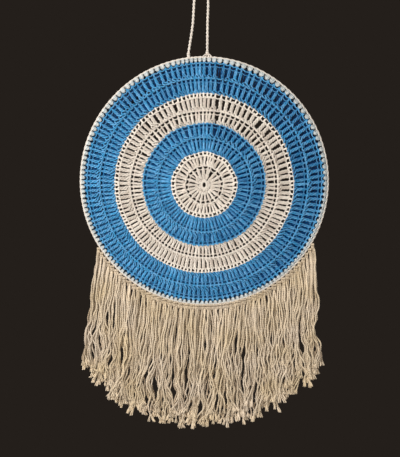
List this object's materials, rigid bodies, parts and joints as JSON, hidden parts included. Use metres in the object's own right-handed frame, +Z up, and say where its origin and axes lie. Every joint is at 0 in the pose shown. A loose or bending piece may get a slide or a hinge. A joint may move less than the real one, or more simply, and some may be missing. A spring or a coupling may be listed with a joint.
{
  "type": "crochet dream catcher",
  "caption": "Round crochet dream catcher: a wire hoop filled with cream and blue rounds of tall stitches, with a yarn fringe below and a cord loop above to hang it by.",
  "frame": {"origin": "where the nail bears on the inside of the top of the cord loop", "axes": "+Z up, the front of the web faces -Y, +X to the right as seen from the front"},
  "size_m": [0.2996, 0.008, 0.537],
  "materials": {
    "cream_yarn": "matt cream cotton yarn",
    "blue_yarn": "matt sky blue cotton yarn",
    "fringe_yarn": "matt beige cotton yarn, cut ends frayed",
    "cord_yarn": "twisted cream cotton cord",
    "hoop_wire": "plain round wire, hidden by the edging"
  },
  "bodies": {
    "hanging_loop": {"hanging_cord": "cord_yarn", "cord_tie_left": "cord_yarn", "cord_tie_right": "cord_yarn"},
    "hoop": {"hoop_wire": "hoop_wire", "edging": "cream_yarn", "centre_ring": "cream_yarn", "round_1_cream": "cream_yarn", "round_2_cream": "cream_yarn", "round_3_blue": "blue_yarn", "round_4_blue": "blue_yarn", "round_5_cream": "cream_yarn", "round_6_cream": "cream_yarn", "round_7_blue": "blue_yarn", "round_8_blue": "blue_yarn"},
    "tassel_01": {"tassel_01": "fringe_yarn"},
    "tassel_02": {"tassel_02": "fringe_yarn"},
    "tassel_03": {"tassel_03": "fringe_yarn"},
    "tassel_04": {"tassel_04": "fringe_yarn"},
    "tassel_05": {"tassel_05": "fringe_yarn"},
    "tassel_06": {"tassel_06": "fringe_yarn"},
    "tassel_07": {"tassel_07": "fringe_yarn"},
    "tassel_08": {"tassel_08": "fringe_yarn"},
    "tassel_09": {"tassel_09": "fringe_yarn"},
    "tassel_10": {"tassel_10": "fringe_yarn"},
    "tassel_11": {"tassel_11": "fringe_yarn"},
    "tassel_12": {"tassel_12": "fringe_yarn"},
    "tassel_13": {"tassel_13": "fringe_yarn"},
    "tassel_14": {"tassel_14": "fringe_yarn"},
    "tassel_15": {"tassel_15": "fringe_yarn"},
    "tassel_16": {"tassel_16": "fringe_yarn"},
    "tassel_17": {"tassel_17": "fringe_yarn"},
    "tassel_18": {"tassel_18": "fringe_yarn"},
    "tassel_19": {"tassel_19": "fringe_yarn"},
    "tassel_20": {"tassel_20": "fringe_yarn"},
    "tassel_21": {"tassel_21": "fringe_yarn"},
    "tassel_22": {"tassel_22": "fringe_yarn"},
    "tassel_23": {"tassel_23": "fringe_yarn"},
    "tassel_24": {"tassel_24": "fringe_yarn"},
    "tassel_25": {"tassel_25": "fringe_yarn"},
    "tassel_26": {"tassel_26": "fringe_yarn"},
    "tassel_27": {"tassel_27": "fringe_yarn"},
    "tassel_28": {"tassel_28": "fringe_yarn"},
    "tassel_29": {"tassel_29": "fringe_yarn"},
    "tassel_30": {"tassel_30": "fringe_yarn"},
    "tassel_31": {"tassel_31": "fringe_yarn"},
    "tassel_32": {"tassel_32": "fringe_yarn"},
    "tassel_33": {"tassel_33": "fringe_yarn"},
    "tassel_34": {"tassel_34": "fringe_yarn"},
    "tassel_35": {"tassel_35": "fringe_yarn"},
    "tassel_36": {"tassel_36": "fringe_yarn"},
    "tassel_37": {"tassel_37": "fringe_yarn"},
    "tassel_38": {"tassel_38": "fringe_yarn"},
    "tassel_39": {"tassel_39": "fringe_yarn"},
    "tassel_40": {"tassel_40": "fringe_yarn"},
    "tassel_41": {"tassel_41": "fringe_yarn"},
    "tassel_42": {"tassel_42": "fringe_yarn"},
    "tassel_43": {"tassel_43": "fringe_yarn"},
    "tassel_44": {"tassel_44": "fringe_yarn"},
    "tassel_45": {"tassel_45": "fringe_yarn"},
    "tassel_46": {"tassel_46": "fringe_yarn"}
  },
  "joints": [
    {"name": "hoop_swing", "type": "hinge", "parent": "hanging_loop", "child": "hoop", "pos_m": [-0.0041, 0, -0.08214], "axis": [-0.9986, 0, -0.0527], "range_deg": [0, 75]},
    {"name": "tassel_01_swing", "type": "hinge", "parent": "hoop", "child": "tassel_01", "pos_m": [-0.12379, 0, -0.31288], "axis": [-1, 0, 0], "range_deg": [-75, 75]},
    {"name": "tassel_02_swing", "type": "hinge", "parent": "hoop", "child": "tassel_02", "pos_m": [-0.12, 0, -0.31856], "axis": [-1, 0, 0], "range_deg": [-75, 75]},
    {"name": "tassel_03_swing", "type": "hinge", "parent": "hoop", "child": "tassel_03", "pos_m": [-0.11596, 0, -0.32406], "axis": [-1, 0, 0], "range_deg": [-75, 75]},
    {"name": "tassel_04_swing", "type": "hinge", "parent": "hoop", "child": "tassel_04", "pos_m": [-0.11165, 0, -0.32937], "axis": [-1, 0, 0], "range_deg": [-75, 75]},
    {"name": "tassel_05_swing", "type": "hinge", "parent": "hoop", "child": "tassel_05", "pos_m": [-0.1071, 0, -0.33447], "axis": [-1, 0, 0], "range_deg": [-75, 75]},
    {"name": "tassel_06_swing", "type": "hinge", "parent": "hoop", "child": "tassel_06", "pos_m": [-0.10231, 0, -0.33936], "axis": [-1, 0, 0], "range_deg": [-75, 75]},
    {"name": "tassel_07_swing", "type": "hinge", "parent": "hoop", "child": "tassel_07", "pos_m": [-0.09729, 0, -0.34402], "axis": [-1, 0, 0], "range_deg": [-75, 75]},
    {"name": "tassel_08_swing", "type": "hinge", "parent": "hoop", "child": "tassel_08", "pos_m": [-0.09206, 0, -0.34844], "axis": [-1, 0, 0], "range_deg": [-75, 75]},
    {"name": "tassel_09_swing", "type": "hinge", "parent": "hoop", "child": "tassel_09", "pos_m": [-0.08662, 0, -0.35261], "axis": [-1, 0, 0], "range_deg": [-75, 75]},
    {"name": "tassel_10_swing", "type": "hinge", "parent": "hoop", "child": "tassel_10", "pos_m": [-0.081, 0, -0.35652], "axis": [-1, 0, 0], "range_deg": [-75, 75]},
    {"name": "tassel_11_swing", "type": "hinge", "parent": "hoop", "child": "tassel_11", "pos_m": [-0.07519, 0, -0.36017], "axis": [-1, 0, 0], "range_deg": [-75, 75]},
    {"name": "tassel_12_swing", "type": "hinge", "parent": "hoop", "child": "tassel_12", "pos_m": [-0.06923, 0, -0.36354], "axis": [-1, 0, 0], "range_deg": [-75, 75]},
    {"name": "tassel_13_swing", "type": "hinge", "parent": "hoop", "child": "tassel_13", "pos_m": [-0.06311, 0, -0.36662], "axis": [-1, 0, 0], "range_deg": [-75, 75]},
    {"name": "tassel_14_swing", "type": "hinge", "parent": "hoop", "child": "tassel_14", "pos_m": [-0.05685, 0, -0.36942], "axis": [-1, 0, 0], "range_deg": [-75, 75]},
    {"name": "tassel_15_swing", "type": "hinge", "parent": "hoop", "child": "tassel_15", "pos_m": [-0.05048, 0, -0.37192], "axis": [-1, 0, 0], "range_deg": [-75, 75]},
    {"name": "tassel_16_swing", "type": "hinge", "parent": "hoop", "child": "tassel_16", "pos_m": [-0.04399, 0, -0.37412], "axis": [-1, 0, 0], "range_deg": [-75, 75]},
    {"name": "tassel_17_swing", "type": "hinge", "parent": "hoop", "child": "tassel_17", "pos_m": [-0.03742, 0, -0.37602], "axis": [-1, 0, 0], "range_deg": [-75, 75]},
    {"name": "tassel_18_swing", "type": "hinge", "parent": "hoop", "child": "tassel_18", "pos_m": [-0.03077, 0, -0.37761], "axis": [-1, 0, 0], "range_deg": [-75, 75]},
    {"name": "tassel_19_swing", "type": "hinge", "parent": "hoop", "child": "tassel_19", "pos_m": [-0.02405, 0, -0.37889], "axis": [-1, 0, 0], "range_deg": [-75, 75]},
    {"name": "tassel_20_swing", "type": "hinge", "parent": "hoop", "child": "tassel_20", "pos_m": [-0.01729, 0, -0.37986], "axis": [-1, 0, 0], "range_deg": [-75, 75]},
    {"name": "tassel_21_swing", "type": "hinge", "parent": "hoop", "child": "tassel_21", "pos_m": [-0.0105, 0, -0.38052], "axis": [-1, 0, 0], "range_deg": [-75, 75]},
    {"name": "tassel_22_swing", "type": "hinge", "parent": "hoop", "child": "tassel_22", "pos_m": [-0.00368, 0, -0.38087], "axis": [-1, 0, 0], "range_deg": [-75, 75]},
    {"name": "tassel_23_swing", "type": "hinge", "parent": "hoop", "child": "tassel_23", "pos_m": [0.00313, 0, -0.38091], "axis": [-1, 0, 0], "range_deg": [-75, 75]},
    {"name": "tassel_24_swing", "type": "hinge", "parent": "hoop", "child": "tassel_24", "pos_m": [0.00994, 0, -0.38089], "axis": [-1, 0, 0], "range_deg": [-75, 75]},
    {"name": "tassel_25_swing", "type": "hinge", "parent": "hoop", "child": "tassel_25", "pos_m": [0.01676, 0, -0.38059], "axis": [-1, 0, 0], "range_deg": [-75, 75]},
    {"name": "tassel_26_swing", "type": "hinge", "parent": "hoop", "child": "tassel_26", "pos_m": [0.02355, 0, -0.37997], "axis": [-1, 0, 0], "range_deg": [-75, 75]},
    {"name": "tassel_27_swing", "type": "hinge", "parent": "hoop", "child": "tassel_27", "pos_m": [0.03032, 0, -0.37904], "axis": [-1, 0, 0], "range_deg": [-75, 75]},
    {"name": "tassel_28_swing", "type": "hinge", "parent": "hoop", "child": "tassel_28", "pos_m": [0.03704, 0, -0.37781], "axis": [-1, 0, 0], "range_deg": [-75, 75]},
    {"name": "tassel_29_swing", "type": "hinge", "parent": "hoop", "child": "tassel_29", "pos_m": [0.04371, 0, -0.37626], "axis": [-1, 0, 0], "range_deg": [-75, 75]},
    {"name": "tassel_30_swing", "type": "hinge", "parent": "hoop", "child": "tassel_30", "pos_m": [0.05029, 0, -0.3744], "axis": [-1, 0, 0], "range_deg": [-75, 75]},
    {"name": "tassel_31_swing", "type": "hinge", "parent": "hoop", "child": "tassel_31", "pos_m": [0.05679, 0, -0.37224], "axis": [-1, 0, 0], "range_deg": [-75, 75]},
    {"name": "tassel_32_swing", "type": "hinge", "parent": "hoop", "child": "tassel_32", "pos_m": [0.06318, 0, -0.36978], "axis": [-1, 0, 0], "range_deg": [-75, 75]},
    {"name": "tassel_33_swing", "type": "hinge", "parent": "hoop", "child": "tassel_33", "pos_m": [0.06945, 0, -0.36703], "axis": [-1, 0, 0], "range_deg": [-75, 75]},
    {"name": "tassel_34_swing", "type": "hinge", "parent": "hoop", "child": "tassel_34", "pos_m": [0.07559, 0, -0.36398], "axis": [-1, 0, 0], "range_deg": [-75, 75]},
    {"name": "tassel_35_swing", "type": "hinge", "parent": "hoop", "child": "tassel_35", "pos_m": [0.08158, 0, -0.36065], "axis": [-1, 0, 0], "range_deg": [-75, 75]},
    {"name": "tassel_36_swing", "type": "hinge", "parent": "hoop", "child": "tassel_36", "pos_m": [0.08741, 0, -0.35704], "axis": [-1, 0, 0], "range_deg": [-75, 75]},
    {"name": "tassel_37_swing", "type": "hinge", "parent": "hoop", "child": "tassel_37", "pos_m": [0.09306, 0, -0.35317], "axis": [-1, 0, 0], "range_deg": [-75, 75]},
    {"name": "tassel_38_swing", "type": "hinge", "parent": "hoop", "child": "tassel_38", "pos_m": [0.09852, 0, -0.34903], "axis": [-1, 0, 0], "range_deg": [-75, 75]},
    {"name": "tassel_39_swing", "type": "hinge", "parent": "hoop", "child": "tassel_39", "pos_m": [0.10378, 0, -0.34464], "axis": [-1, 0, 0], "range_deg": [-75, 75]},
    {"name": "tassel_40_swing", "type": "hinge", "parent": "hoop", "child": "tassel_40", "pos_m": [0.10883, 0, -0.34002], "axis": [-1, 0, 0], "range_deg": [-75, 75]},
    {"name": "tassel_41_swing", "type": "hinge", "parent": "hoop", "child": "tassel_41", "pos_m": [0.11365, 0, -0.33516], "axis": [-1, 0, 0], "range_deg": [-75, 75]},
    {"name": "tassel_42_swing", "type": "hinge", "parent": "hoop", "child": "tassel_42", "pos_m": [0.11824, 0, -0.33008], "axis": [-1, 0, 0], "range_deg": [-75, 75]},
    {"name": "tassel_43_swing", "type": "hinge", "parent": "hoop", "child": "tassel_43", "pos_m": [0.12258, 0, -0.3248], "axis": [-1, 0, 0], "range_deg": [-75, 75]},
    {"name": "tassel_44_swing", "type": "hinge", "parent": "hoop", "child": "tassel_44", "pos_m": [0.12666, 0, -0.31933], "axis": [-1, 0, 0], "range_deg": [-75, 75]},
    {"name": "tassel_45_swing", "type": "hinge", "parent": "hoop", "child": "tassel_45", "pos_m": [0.13048, 0, -0.31367], "axis": [-1, 0, 0], "range_deg": [-75, 75]},
    {"name": "tassel_46_swing", "type": "hinge", "parent": "hoop", "child": "tassel_46", "pos_m": [0.13403, 0, -0.30785], "axis": [-1, 0, 0], "range_deg": [-75, 75]}
  ]
}
